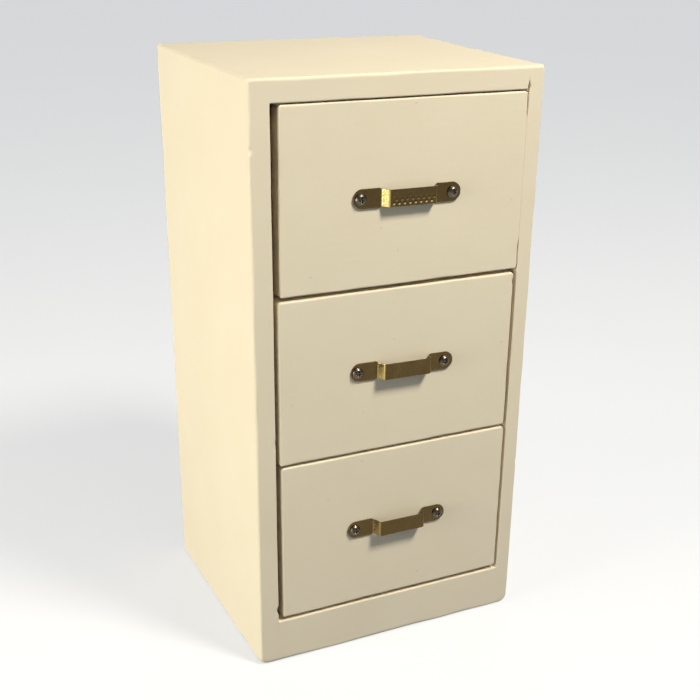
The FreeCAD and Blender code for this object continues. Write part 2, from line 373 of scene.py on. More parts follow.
def paint_layers(tree, grain, shift):
    """Colour, roughness and height of brushed satin paint. Only the brush strokes differ by board."""
    place = place_mm(tree)
    strokes_place = place_mm(tree, stretched(grain, STROKE_STRETCH), shift)
    clouds = noise(tree, place, 0.11, 3.0, 0.55)
    mottle = noise(tree, place, 0.9, 3.0, 0.6)
    strokes = noise(tree, strokes_place, 1.6, 4.0, 0.6, 0.2)
    peel = noise(tree, place, 4.0, 2.0, 0.5)
    tone = mix_colour(tree, remap(tree, clouds, 0.3, 0.7), CREAM_DEEP, CREAM)
    tone = mix_colour(tree, remap(tree, mottle, 0.4, 0.8, 0.0, 0.25), tone, CREAM_PALE)
    tone = mix_colour(tree, remap(tree, strokes, 0.45, 0.8, 0.0, 0.15), tone, CREAM_DEEP)
    cells = {"Vector": place, "Scale": 0.42, "Randomness": 1.0}
    nibs = add_node(tree, "ShaderNodeTexVoronoi", cells, feature="F1")
    nib_mask = remap(tree, nibs.outputs["Distance"], *NIB_SIZE, 1.0, 0.0, smoothly=True)
    chosen = add_node(tree, "ShaderNodeSeparateColor", {0: nibs.outputs["Color"]}).outputs[0]
    nib_mask = maths(tree, "MULTIPLY", nib_mask, maths(tree, "GREATER_THAN", chosen, NIB_CHANCE))
    tone = mix_colour(tree, maths(tree, "MULTIPLY", nib_mask, 0.3), tone, DUST_BROWN)
    rough = remap(tree, mottle, 0.25, 0.75, 0.55, 0.68)
    height = maths(tree, "MULTIPLY", strokes, 0.9)
    height = maths(tree, "ADD", height, maths(tree, "MULTIPLY", peel, 0.22))
    height = maths(tree, "ADD", height, maths(tree, "MULTIPLY", nib_mask, 0.9))
    return tone, rough, height


def painted_material(name, grain, shift):
    """Cream paint that ends raggedly where the attribute "bare" passes 0, with bare wood beyond."""
    material, tree, shader = new_material(name)
    paint_tone, paint_rough, paint_height = paint_layers(tree, grain, shift)
    wood_tone, wood_rough, wood_height = wood_layers(tree, grain, shift)
    past = attribute(tree, "bare")
    ragged = noise(tree, place_mm(tree), 0.8, 4.0, 0.62)
    past = maths(tree, "ADD", past, remap(tree, ragged, 0.2, 0.8, -RAGGED_REACH, RAGGED_REACH))
    bare = remap(tree, past, -0.06, 0.1, smoothly=True)
    thin = remap(tree, past, -0.9, 0.1, 0.0, 0.35, smoothly=True)
    paint_tone = mix_colour(tree, thin, paint_tone, WOOD_LIGHT)
    # painted shade: the attribute darkens the paint to brown on the drawer fronts' left edges, inside
    # the gap
    grime_and_shade = attribute(tree, "grime_and_shade")
    grime_and_shade = maths(tree, "MULTIPLY", grime_and_shade, remap(tree, ragged, 0.25, 0.6, 0.6, 1.0))
    paint_tone = mix_colour(tree, grime_and_shade, paint_tone, GAP_SHADE_BROWN)
    tone = mix_colour(tree, bare, paint_tone, wood_tone)
    rough = add_node(tree, "ShaderNodeMix", {0: bare, 2: paint_rough, 3: wood_rough}).outputs[0]
    paint_top = maths(tree, "ADD", paint_height, PAINT_STEP)
    height = add_node(tree, "ShaderNodeMix", {0: bare, 2: paint_top, 3: wood_height}).outputs[0]
    feed(tree, shader, tone, rough, height, PAINT_RELIEF)
    shader.inputs["Specular IOR Level"].default_value = PAINT_SHEEN
    return material


def wood_material(name, grain, shift):
    """Bare, fine-sanded wood."""
    material, tree, shader = new_material(name)
    tone, rough, height = wood_layers(tree, grain, shift)
    feed(tree, shader, tone, rough, height, WOOD_RELIEF)
    shader.inputs["Specular IOR Level"].default_value = WOOD_SHEEN
    return material


def brass_material(name):
    """Aged brass: darkened in patches and rubbed a little brighter at the edges, with painted glints on
    the raised dots and a painted reflection on the risers.
    """
    material, tree, shader = new_material(name)
    place = place_mm(tree)
    patches = noise(tree, place, 0.7, 4.0, 0.6)
    grime_and_shade = noise(tree, place, 3.2, 3.0, 0.6)
    lines = noise(tree, place_mm(tree, stretched("x", BRASS_LINE_STRETCH)), 14.0, 3.0, 0.6)
    rubbed = attribute(tree, "rubbed")
    tone = mix_colour(tree, remap(tree, patches, 0.3, 0.7), BRASS_MID, BRASS_DARK)
    tone = mix_colour(tree, remap(tree, grime_and_shade, 0.5, 0.8, 0.0, 0.4), tone, BRASS_GRIME)
    # painted glints on the dots and a painted reflection on the risers brighten the brass here, with a
    # little real wear at the edges
    tone = mix_colour(tree, maths(tree, "MULTIPLY", rubbed, 0.85), tone, BRASS_WEAR_AND_SHEEN)
    rough = remap(tree, grime_and_shade, 0.25, 0.75, 0.16, 0.26)
    height = maths(tree, "ADD", lines, maths(tree, "MULTIPLY", grime_and_shade, 0.6))
    feed(tree, shader, tone, rough, height, BRASS_RELIEF)
    shader.inputs["Metallic"].default_value = 1.0
    return material


def nickel_material(name):
    """Dull nickel plate, dark in the cross recess."""
    material, tree, shader = new_material(name)
    place = place_mm(tree)
    cloud = noise(tree, place, 2.2, 3.0, 0.6)
    fine = noise(tree, place, 18.0, 3.0, 0.6)
    sunk = attribute(tree, "sunk")
    tone = mix_colour(tree, remap(tree, cloud, 0.3, 0.7), NICKEL_PALE, NICKEL_DARK)
    tone = mix_colour(tree, sunk, tone, RECESS_DIRT)
    rough = remap(tree, fine, 0.3, 0.7, 0.32, 0.42)
    feed(tree, shader, tone, rough, fine, NICKEL_RELIEF)
    shader.inputs["Metallic"].default_value = 1.0
    shader.inputs["Coat Weight"].default_value = 0.6
    shader.inputs["Coat Roughness"].default_value = 0.1
    return material


PAINT_ALONG_X = painted_material("cream_paint_along_x", "x", (3.0, 7.0, 1.0))
PAINT_ALONG_Z = painted_material("cream_paint_along_z", "z", (8.0, 4.0, 9.0))
WOOD = {axis: wood_material("bare_wood_along_" + axis, axis, (2.0, 5.0, 8.0)) for axis in AXES}
BRASS = brass_material("aged_brass")
NICKEL = nickel_material("dull_nickel")


# ---- Carcass -------------------------------------------------------------------------------------

OPEN_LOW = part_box("plinth_rail")[1][2] / MM
OPEN_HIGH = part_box("top_panel")[0][2] / MM
FRONT_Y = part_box("side_panel_left")[0][1] / MM
OUTER_ROUND = 0.36
TOP_FRONT_ROUND = 0.42
FOOT_ROUND = 0.45  # of the front boards' lower edges
OPENING_ROUND = 0.2
PAINT_LAP = 2.4  # how far paint runs back into the opening
TIGHT_HEIGHTS = (56.5, 74.5)  # between these the top drawer all but touches the right side panel
TIGHT_CRISP = 0.97  # how much of their rounding the two edges there lose
PAINT_BUILD_UP = 0.035  # extra paint on the side panel between those heights
OUTER_WAVES = ((0.05, 11.0, 3), (0.016, 2.6, 4))  # amount, size and seed of the paint's waves
RIGHT_CRACK = 0.3  # radii and depths of the open joint at the opening's upper right corner
TOP_CRACK = 0.22
SIDE_CRACK_DEPTH = 0.1
TOP_CRACK_DEPTH = 0.14
LEFT_CRACK = 0.03  # and radii of the one just below the opening, at the lower left corner
PLINTH_CRACK = 0.05
FINE_HEIGHTS = np.concatenate(  # the side panels' lattice is finer at their cracks and dents
    [np.arange(6.6, 9.8, 0.12), np.arange(76.4, 79.2, 0.1), np.arange(71.0, 72.6, 0.12)]
)
# Each panel's knocks: edge, place behind the front, height, radius, depth and direction.
KNOCKS = {
    "side_panel_left": (
        ("outer", 0.0, 71.8, 0.7, 0.14, (0.6, 0.8, 0.0)),
        ("inner", 0.0, 33.8, 0.55, 0.12, (-0.6, 0.8, 0.0)),
        ("inner", 0.1, 8.4, 0.85, 0.22, (-1.0, 0.1, 0.0)),
        ("outer", 0.0, 0.0, 1.1, 0.3, (0.5, 0.5, 0.6)),
    ),
    "side_panel_right": (
        ("outer", 0.0, 24.0, 0.6, 0.1, (-0.6, 0.8, 0.0)),
        ("outer", 0.0, 0.0, 1.1, 0.3, (-0.5, 0.5, 0.6)),
    ),
}


def below_opening(z):
    """0 well below the opening and 1 near its lower edge, where the plinth's joint has cracked."""
    return ease(z, OPEN_LOW - 3.2, OPEN_LOW - 0.6)


def above_opening(z):
    """1 near the opening's upper edge, where the top's joint has cracked, and 0 well above it."""
    return 1.0 - ease(z, OPEN_HIGH + 0.1, OPEN_HIGH + 1.5)


def crisper(z):
    """What is left of an edge's rounding, where the top drawer all but touches the side panel."""
    return 1.0 - TIGHT_CRISP * within(z, *TIGHT_HEIGHTS, TIGHT_EASE)


def inner_edge(crack_low, crack_high, tight):
    """Radius of a side panel's inner front edge: none where boards meet, rounded between them.

    The first two numbers say how wide the joint has cracked open just below and above the opening.
    """
    seed = 19

    def radius(z):
        opening = ease(z, OPEN_LOW - 0.15, OPEN_LOW + 0.2)
        opening = opening * (1.0 - ease(z, OPEN_HIGH - 0.2, OPEN_HIGH + 0.15))
        low_crack = crack_low * below_opening(z)
        high_crack = crack_high * above_opening(z)
        crack = np.where(z < (OPEN_LOW + OPEN_HIGH) / 2.0, low_crack, high_crack)
        crack = crack * (1.0 + 0.4 * wobble_along(z, 0.5, seed))
        round_free = OPENING_ROUND * (1.0 + 0.35 * wobble_along(z, 3.0, seed))
        if tight:
            round_free = round_free * crisper(z)
        return crack * (1.0 - opening) + round_free * opening

    return radius


def corner_crack(board, width):
    """How far each side of the open joint at the opening's upper right corner has drawn back."""
    below = 1.0 - ease(board.flat[:, 2], OPEN_HIGH + 0.2, OPEN_HIGH + 1.5)
    above = ease(board.flat[:, 2], OPEN_HIGH - 0.6, OPEN_HIGH - 0.1)
    near_front = 1.0 - ease(board.flat[:, 1], FRONT_Y + 0.7, FRONT_Y + 1.4)
    return width * below * above * near_front


def paint_carcass_side(board, sides):
    """The waves of the carcass's paint, which run on across its boards."""
    for amount, size, seed in OUTER_WAVES:
        board.roughen(sides, amount, size, seed)


def bare_inside(board, inner_sides, under=True):
    """The attribute that ends the paint a little way inside the opening and at the underside."""
    bare = np.full(len(board.points), FULLY_PAINTED)
    inner = np.zeros(len(board.points), bool)
    for side in inner_sides:
        inner |= board.on(side)
    reach_in = board.flat[:, 1] - FRONT_Y - PAINT_LAP
    opening = (board.flat[:, 2] > OPEN_LOW - 0.5) & (board.flat[:, 2] < OPEN_HIGH + 0.5)
    bare[inner & opening] = reach_in[inner & opening]
    if under:
        below = board.on("-z")
        flat = board.flat[:, :2]
        edge_gap = np.minimum(flat - board.box[0][:2], board.box[1][:2] - flat)
        bare[below] = (edge_gap.min(axis=1) * 1.5 - 0.3)[below]
    return bare


def make_side_panels():
    """Two full-height sides, with small knocks along their front edges."""
    for node, out, inn, edge in (
        ("side_panel_left", "-x", "+x", inner_edge(LEFT_CRACK, 0.0, False)),
        ("side_panel_right", "+x", "-x", inner_edge(0.0, RIGHT_CRACK, True)),
    ):
        board = Board(node, 0.6, ((), (), FINE_HEIGHTS))
        outer_end = 0 if out == "-x" else 1
        x_of = {"outer": board.box[outer_end][0], "inner": board.box[1 - outer_end][0]}
        board.round(
            {
                out + "-y": varied(OUTER_ROUND, 11),
                out + "+y": varied(OUTER_ROUND, 12),
                out + "+z": varied(OUTER_ROUND, 13),
                out + "-z": varied(0.5, 14),
                "-y+z": varied(TOP_FRONT_ROUND, 15),
                "-y-z": varied(FOOT_ROUND, 16),
                "+y+z": varied(OUTER_ROUND, 17),
                "+y-z": varied(0.4, 18),
                inn + "-y": edge,
                inn + "-z": 0.1,
            }
        )
        paint_carcass_side(board, [out, "-y", "+y", "+z"])
        z = board.flat[:, 2]
        open_here = ease(z, OPEN_LOW, OPEN_LOW + 0.3) * (1.0 - ease(z, OPEN_HIGH - 0.3, OPEN_HIGH))
        if node == "side_panel_right":
            tight = within(z, *TIGHT_HEIGHTS, TIGHT_EASE)
            board.sink(inn, -PAINT_BUILD_UP * tight)
            board.sink(inn, corner_crack(board, SIDE_CRACK_DEPTH))
            open_here = open_here * (1.0 - tight)
        board.roughen([inn], 0.02, 5.0, 21, open_here)
        for corner, behind, height, radius, depth, direction in KNOCKS[node]:
            board.dent((x_of[corner], FRONT_Y + behind, height), radius, depth, direction)
        board.finish("carcass", "cream_painted_wood", PAINT_ALONG_Z, bare_inside(board, [inn]))


def make_cross_boards():
    """The top panel and the plinth rail, between the sides."""
    top = Board("top_panel")
    top.round(
        {
            "-y+z": varied(TOP_FRONT_ROUND, 15),
            "+y+z": varied(OUTER_ROUND, 17),
            "-y-z": varied(0.18, 24),
            "+x-y": lambda z: TOP_CRACK * above_opening(z),
        }
    )
    paint_carcass_side(top, ["-y", "+y", "+z"])
    top.sink("+x", corner_crack(top, TOP_CRACK_DEPTH))
    bare = bare_inside(top, ["-z"], under=False)
    top.finish("carcass", "cream_painted_wood", PAINT_ALONG_X, bare)
    plinth = Board("plinth_rail", 0.5)
    plinth.round(
        {
            "-y+z": varied(0.12, 27, 0.35, 3.0),
            "+y+z": 0.15,
            "-y-z": varied(FOOT_ROUND, 16),
            "-x-y": lambda z: PLINTH_CRACK * below_opening(z),
        }
    )
    paint_carcass_side(plinth, ["-y"])
    plinth.roughen(["+z"], 0.03, 4.0, 29)
    bare = bare_inside(plinth, ["+z"])
    bare[plinth.on("+y")] = 1.0
    plinth.finish("carcass", "cream_painted_wood", PAINT_ALONG_X, bare)


def make_inner_boards():
    """The back panel, the floor and the dividers: bare wood, sanded."""
    for node, grain in (
        ("back_panel", "z"),
        ("floor_panel", "x"),
        ("divider_lower", "x"),
        ("divider_upper", "x"),
    ):
        board = Board(node, 1.0)
        every_edge = [a + b for a in ("-x", "+x") for b in ("-y", "+y", "-z", "+z")]
        every_edge += ["-y-z", "-y+z", "+y-z", "+y+z"]
        board.round({edge: varied(0.07, 31) for edge in every_edge})
        board.roughen(["-y", "+y", "-z", "+z"], 0.03, 6.0, 33)
        board.finish("carcass", "bare_wood", WOOD[grain])


# ---- Drawers -------------------------------------------------------------------------------------

DRAWER_SEEDS = {"top": 100, "middle": 140, "bottom": 180}
FRONT_LAP = 3.6  # how far paint runs back on a drawer front's edges
MIDDLE_KNOCKS = (51.9, 51.5)  # heights of two knocks on the middle front's right-hand edge
EDGE_SHADE = 0.6  # how strongly painted shade darkens the front's left-hand edge inside the gap, behind its rounded corner
TOP_DRAWER_TAPER = 0.15  # the top front is a little narrower at its upper left than at its foot


def make_drawer_front(name, seed):
    """One painted front. Only the top one nearly touches the right side panel."""
    board = Board(name + "_drawer_front", 0.4)
    free_edge = varied(0.26, seed + 8, 0.45, 1.6)
    right_edge = free_edge
    free = 1.0
    if name == "top":
        right_edge = lambda z: free_edge(z) * crisper(z)
        free = 1.0 - within(board.flat[:, 2], *TIGHT_HEIGHTS, TIGHT_EASE)
    board.round(
        {
            "-x-z": varied(0.4, seed + 1),
            "-x+z": varied(0.45, seed + 2),
            "+x-z": varied(0.4, seed + 3),
            "+x+z": varied(0.45, seed + 4),
            "-y-z": varied(0.26, seed + 5, 0.35, 3.0),
            "-y+z": varied(0.2, seed + 6, 0.35, 3.0),
            "-x-y": varied(0.3, seed + 7, 0.35, 3.0),
            "+x-y": right_edge,
            "+y-z": 0.1,
            "+y+z": 0.1,
            "-x+y": 0.1,
            "+x+y": 0.1,
        }
    )
    if name == "top":
        high = ease(board.flat[:, 2], board.box[0][2], board.box[1][2])
        board.sink("-x", TOP_DRAWER_TAPER * high)
    board.roughen(["-y"], 0.05, 10.0, seed + 9)
    board.roughen(["-y"], 0.014, 2.2, seed + 10)
    board.roughen(["-x", "-z", "+z"], 0.03, 2.5, seed + 11)
    board.roughen(["+x"], 0.03, 2.5, seed + 11, free)
    if name == "middle":
        right = board.box[1][0]
        for z in MIDDLE_KNOCKS:
            board.dent((right, FRONT_Y + 0.1, z), 0.4, 0.1, (-1.0, 0.3, 0.0))
    bare = board.flat[:, 1] - FRONT_Y - FRONT_LAP
    bare[board.on("+y")] = 1.0
    # painted shade along the left-hand edge, inside the gap beside the side panel
    grime_and_shade = EDGE_SHADE * ease(board.flat[:, 1] - FRONT_Y, 0.2, 0.7)
    grime_and_shade[~board.on("-x")] = 0.0
    board.finish(name + "_drawer", "cream_painted_wood", PAINT_ALONG_X, bare, grime_and_shade)


def make_drawer_box(name, seed):
    """The bare box behind a drawer front."""
    for part, grain in (("side_left", "y"), ("side_right", "y"), ("back", "x"), ("base", "y")):
        board = Board(name + "_drawer_" + part, 1.0)
        cross = "y" if grain == "x" else "x"
        long_edges = [a + cross + b + "z" for a in "-+" for b in "-+"]
        board.round({edge: varied(0.12, seed + 20, 0.4, 3.0) for edge in long_edges})
        board.roughen(["-x", "+x", "-y", "+y", "-z", "+z"], 0.03, 5.0, seed + 21)
        board.finish(name + "_drawer", "bare_wood", WOOD[grain])


# ---- Pulls ---------------------------------------------------------------------------------------

STRAP_THICK = 0.2
PULL_HALF_LENGTH = 15.15 / 2.0
FOOT_BENDS = (-3.68, 3.92)
# How far each riser leans in, left and right.
RISER_RUNS = {"top": (0.78, 0.27), "middle": (0.53, 0.3), "bottom": (0.55, 0.31)}
PULL_TILTS = {"top": 0.4, "middle": 0.95, "bottom": 0.35}  # degrees, right-hand foot down
PULL_STANDOFFS = {"top": 1.1, "middle": 1.38, "bottom": 1.52}  # from the front to the grip's face
BEND_RADIUS = 0.3
FOOT_WIDTH = 2.5
GRIP_WIDTH = 2.2
WAIST_LENGTH = 0.3
DOT_PITCH = 0.762
DOT_START = -0.09  # where along the grip the lowest row has a dot
DOT_ROWS = (-0.7, -0.25, 0.2, 0.65)  # up from the strap's middle line
# How far the dots stand out, as parts of DOT_HEIGHT: in each row of the grip, then on the risers.
DOT_RELIEF = {"top": (1.0, 0.5, 0.2, 0.12), "middle": (0.15,) * 4, "bottom": (0.12,) * 4}
RISER_RELIEF = {"top": 0.1, "middle": 0.2, "bottom": 0.35}
# How bright the riser dots and the risers are painted: painted glints on the dots and a painted
# reflection on each riser, set for each pull.
RISER_DOT_SHINE = {"top": 0.0, "middle": 0.7, "bottom": 0.9}
RISER_SHEEN = {"top": 0.75, "middle": 0.6, "bottom": 0.32}
BEND_EASE = 0.3  # over which the stamping fades out at each end of the grip
RISER_DOTS = (-0.78, -0.1, 0.42, 0.86)  # a column of dots where each riser leaves its foot
DOT_RADIUS = 0.18
RISER_DOT_INSET = 0.25  # from the bend at the foot to the column of dots
DOT_HEIGHT = 0.06
GRIP_END_CLEAR = 0.15  # no dot's centre is nearer than this to an end of the grip
STRAP_EDGE = 0.06  # radius of the strap's long edges
RIM_WIDTH = 0.16  # over which the strap's edges are rubbed a little
RIM_RUBBED = 0.05
LINE_SPACING = 0.07
TIP_STOPS = (0.0, 0.01, 0.03, 0.06, 0.1, 0.16, 0.24, 0.34)  # rows at each rounded end
ACROSS_COUNT = 41  # points across the strap, crowded a little towards its edges
ACROSS_CROWDING = 0.45


def bent_line(points, radius, spacing):
    """A line of straight runs and tangent arcs, as evenly spaced points with their outward normals."""
    line, normals = [], []

    def run(a, b):
        count = max(1, math.ceil(np.linalg.norm(b - a) / spacing))
        direction = (b - a) / np.linalg.norm(b - a)
        for i in range(count):
            line.append(a + (b - a) * i / count)
            normals.append(np.array([direction[1], -direction[0]]))

    start = points[0]
    for i in range(1, len(points) - 1):
        before = points[i] - points[i - 1]
        before = before / np.linalg.norm(before)
        after = points[i + 1] - points[i]
        after = after / np.linalg.norm(after)
        turn = before[0] * after[1] - before[1] * after[0]
        angle = math.asin(abs(turn)) if before @ after > 0 else math.pi - math.asin(abs(turn))
        setback = radius * math.tan(angle / 2.0)
        arc_start = points[i] - before * setback
        run(start, arc_start)
        sign = 1.0 if turn > 0 else -1.0
        centre = arc_start + np.array([-before[1], before[0]]) * sign * radius
        count = max(3, math.ceil(angle * radius / (spacing * 0.6)))
        for k in range(count):
            a = sign * angle * k / count
            c, s = math.cos(a), math.sin(a)
            spoke = arc_start - centre
            line.append(centre + np.array([c * spoke[0] - s * spoke[1], s * spoke[0] + c * spoke[1]]))
            direction = np.array([c * before[0] - s * before[1], s * before[0] + c * before[1]])
            normals.append(np.array([direction[1], -direction[0]]))
        start = points[i] + after * setback
    run(start, points[-1])
    line.append(points[-1])
    normals.append(normals[-1])
    return np.array(line), np.array(normals)


def strap_half_width(x):
    """Half of the strap's width at a distance x from the pull's middle."""
    foot, grip = FOOT_WIDTH / 2.0, GRIP_WIDTH / 2.0
    past_bend = np.maximum(FOOT_BENDS[0] - x, x - FOOT_BENDS[1])
    waist = ease(past_bend, 0.0, WAIST_LENGTH)
    width = grip + (foot - grip) * waist
    past = np.clip(np.abs(x) - (PULL_HALF_LENGTH - foot), 0.0, foot)
    return np.where(past > 0.0, np.sqrt(np.clip(foot**2 - past**2, 0.0, None)), width)


def make_pull(name):
    """A strap pull with rows of raised dots stamped along its grip and risers."""
    node = name + "_drawer_pull"
    low, high = (np.array(c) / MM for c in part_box(node))
    middle_x, middle_z = (low[0] + high[0]) / 2.0, (low[2] + high[2]) / 2.0
    back_y = high[1]
    foot_y = -STRAP_THICK / 2.0
    grip_y = -PULL_STANDOFFS[name] + STRAP_THICK / 2.0
    left_bend, right_bend = FOOT_BENDS
    grip_left, grip_right = left_bend + RISER_RUNS[name][0], right_bend - RISER_RUNS[name][1]
    corners = [(-PULL_HALF_LENGTH, foot_y), (left_bend, foot_y), (grip_left, grip_y)]
    corners += [(grip_right, grip_y), (right_bend, foot_y), (PULL_HALF_LENGTH, foot_y)]
    line, normals = bent_line([np.array(c) for c in corners], BEND_RADIUS, LINE_SPACING)
    tips = np.array(TIP_STOPS)
    tip_line = np.stack([-PULL_HALF_LENGTH + tips, np.full(len(tips), foot_y)], axis=1)
    keep = (line[:, 0] > tip_line[-1, 0] + 0.05) & (line[:, 0] < -tip_line[-1, 0] - 0.05)
    line = np.concatenate([tip_line, line[keep], tip_line[::-1] * (-1.0, 1.0)])
    tip_normals = np.tile((0.0, -1.0), (len(tips), 1))
    normals = np.concatenate([tip_normals, normals[keep], tip_normals])
    reach = np.concatenate([[0.0], np.cumsum(np.linalg.norm(np.diff(line, axis=0), axis=1))])
    reach -= np.interp(0.0, line[:, 0], reach)
    half_width = np.maximum(strap_half_width(line[:, 0]), 0.02)

    even = np.linspace(-1.0, 1.0, ACROSS_COUNT)
    crowded = np.sin(np.linspace(-math.pi / 2.0, math.pi / 2.0, ACROSS_COUNT))
    across = ACROSS_CROWDING * crowded + (1.0 - ACROSS_CROWDING) * even
    s_count, v_count = len(line), len(across)
    width_at = half_width[:, None] * across[None, :]
    edge_gap = half_width[:, None] - np.abs(width_at)
    tip_gap = np.maximum(PULL_HALF_LENGTH - np.abs(line[:, 0]), 0.0)
    edge_gap = np.minimum(edge_gap, tip_gap[:, None])
    past_edge = np.clip(STRAP_EDGE - edge_gap, 0.0, None)
    fall = STRAP_EDGE - np.sqrt(np.clip(STRAP_EDGE**2 - past_edge**2, 0.0, None))

    dots = np.zeros((s_count, v_count))
    shine = np.zeros((s_count, v_count))
    spots = []
    for row, row_place in enumerate(DOT_ROWS):
        offset = DOT_START + (DOT_PITCH / 2.0 if row % 2 else 0.0)
        relief = DOT_RELIEF[name][row]
        spots += [(k * DOT_PITCH + offset, row_place, relief, relief) for k in range(-12, 13)]
    first, last = grip_left + GRIP_END_CLEAR, grip_right - GRIP_END_CLEAR
    spots = [spot for spot in spots if first < spot[0] < last]
    for bend, inset in ((left_bend, RISER_DOT_INSET), (right_bend, -RISER_DOT_INSET)):
        column = np.interp(bend, line[:, 0], reach) + inset
        spots += [(column, place, RISER_RELIEF[name], RISER_DOT_SHINE[name]) for place in RISER_DOTS]
    for centre_s, row_place, relief, glint in spots:
        gap = np.hypot(reach[:, None] - centre_s, width_at - row_place) / DOT_RADIUS
        bulge = np.clip(1.0 - gap**2, 0.0, None) ** 0.6
        dots = np.maximum(dots, relief * bulge)
        shine = np.maximum(shine, glint * bulge)
    on_grip = within(line[:, 0], grip_left, grip_right, BEND_EASE)
    ground = max(DOT_RELIEF[name]) * on_grip[:, None]
    inward = STRAP_THICK / 2.0 - fall
    outward = inward + DOT_HEIGHT * (dots - ground)

    tilt = math.radians(PULL_TILTS[name])

    def surface(offset):
        xy = line[:, None, :] + normals[:, None, :] * offset[:, :, None]
        x = middle_x + xy[..., 0] * math.cos(tilt) + width_at * math.sin(tilt)
        z = middle_z - xy[..., 0] * math.sin(tilt) + width_at * math.cos(tilt)
        return np.stack([x, back_y + xy[..., 1], z], axis=-1)

    points = np.concatenate([surface(outward).reshape(-1, 3), surface(-inward).reshape(-1, 3)])
    front = np.arange(s_count * v_count).reshape(s_count, v_count)
    rear = front + s_count * v_count
    quads = [sheet_quads(front, False), sheet_quads(rear, True)]
    border = np.concatenate([front[:-1, 0], front[-1, :-1], front[:0:-1, -1], front[0, :0:-1]])
    rear_border = border + s_count * v_count
    quads.append(np.stack([np.roll(border, -1), border, rear_border, np.roll(rear_border, -1)], axis=1))
    faces = np.concatenate(quads).tolist()
    rim = RIM_RUBBED * np.clip(1.0 - edge_gap / RIM_WIDTH, 0.0, 1.0)
    left_riser = within(line[:, 0], left_bend - 0.1, grip_left + 0.1, 0.15)
    right_riser = within(line[:, 0], grip_right - 0.1, right_bend + 0.1, 0.15)
    riser = RISER_SHEEN[name] * np.maximum(left_riser, right_riser)
    # painted glints on the dots, a painted reflection on the risers, and real wear along the rim
    front_wear_and_sheen = np.maximum(np.maximum(shine**2, rim), riser[:, None])
    rubbed = np.concatenate([front_wear_and_sheen.ravel(), rim.ravel()])
    strap = (node + "_strap", points, faces)
    make_piece(*strap, name + "_drawer", [node], "aged_brass", BRASS, {"rubbed": rubbed})


# ---- Screws --------------------------------------------------------------------------------------

HEAD_RADIUS = 0.76
HEAD_RIM = 0.12
HEAD_HEIGHT = 0.56
CORE_RADIUS = 0.33
THREAD_RADIUS = 0.44
PLAIN_SHANK = 0.3
THREAD_TURNS = 4
THREAD_PITCH = 0.4
RECESS_HALF_LENGTH = 0.45
RECESS_HALF_WIDTH = 0.1
RECESS_DEPTH = 0.22
RECESS_REACH = 0.52  # the dome's rings are close together out to here
RING_POINTS = 96


def make_screw(name, side):
    """A domed screw head with a cross recess, tilted with its pull, and a threaded shank."""
    turn = math.radians(PULL_TILTS[name])
    node = name + "_drawer_screw_" + side
    low, high = (np.array(c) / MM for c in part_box(node))
    middle_x, middle_z = (low[0] + high[0]) / 2.0, (low[2] + high[2]) / 2.0
    under_y = low[1] + HEAD_HEIGHT
    depth_end = high[1] - under_y
    angles = np.linspace(0.0, 2.0 * math.pi, RING_POINTS, endpoint=False)
    rise = HEAD_HEIGHT - HEAD_RIM
    dome_radius = (HEAD_RADIUS**2 + rise**2) / (2.0 * rise)
    inner_radii = np.linspace(0.012, RECESS_REACH, 34)
    outer_radii = np.linspace(RECESS_REACH + 0.025, HEAD_RADIUS - 0.02, 8)
    radii = np.concatenate([inner_radii, outer_radii])
    rings = []
    for r in radii:
        height = HEAD_RIM + rise - (dome_radius - np.sqrt(dome_radius**2 - r**2))
        u = np.abs(r * np.cos(angles + turn))
        w = np.abs(r * np.sin(angles + turn))
        slot_depth = np.zeros(RING_POINTS)
        for a, b in ((u, w), (w, u)):
            wall = 1.0 - ease(b, RECESS_HALF_WIDTH - 0.035, RECESS_HALF_WIDTH + 0.03)
            end = 1.0 - ease(a, RECESS_HALF_LENGTH - 0.16, RECESS_HALF_LENGTH + 0.03)
            slot_depth = np.maximum(slot_depth, wall * end)
        rings.append((np.full(RING_POINTS, r), height - RECESS_DEPTH * slot_depth, slot_depth))
    profile = [(HEAD_RADIUS - 0.005, HEAD_RIM + 0.02), (HEAD_RADIUS, HEAD_RIM - 0.03)]
    profile += [(HEAD_RADIUS, 0.03), (HEAD_RADIUS - 0.03, 0.0), (CORE_RADIUS + 0.03, 0.0)]
    profile += [(CORE_RADIUS, -0.03), (CORE_RADIUS, -PLAIN_SHANK)]
    for k in range(THREAD_TURNS):
        profile.append((THREAD_RADIUS, -PLAIN_SHANK - (k + 0.5) * THREAD_PITCH))
        profile.append((CORE_RADIUS, -PLAIN_SHANK - (k + 1.0) * THREAD_PITCH))
    profile.append((0.02, -depth_end))
    for r, height in profile:
        rings.append((np.full(RING_POINTS, r), np.full(RING_POINTS, height), np.zeros(RING_POINTS)))
    points, sunk = [], []
    for ring_radius, height, slot_depth in rings:
        x = middle_x + ring_radius * np.cos(angles)
        z = middle_z + ring_radius * np.sin(angles)
        points.append(np.stack([x, under_y - height, z], axis=1))
        sunk.append(slot_depth)
    points = np.concatenate(points)
    sunk = np.concatenate(sunk)
    index = np.arange(len(rings) * RING_POINTS).reshape(len(rings), RING_POINTS)
    following = np.roll(index, -1, axis=1)
    quads = np.stack([index[:-1], following[:-1], following[1:], index[1:]], axis=-1).reshape(-1, 4)
    faces = quads.tolist()
    faces.append(index[0][::-1].tolist())
    faces.append(index[-1].tolist())
    screw = (node + "_nickel", points, faces)
    make_piece(*screw, name + "_drawer", [node], "nickel_screws", NICKEL, {"sunk": sunk})


# ---- Stage, light and camera ---------------------------------------------------------------------

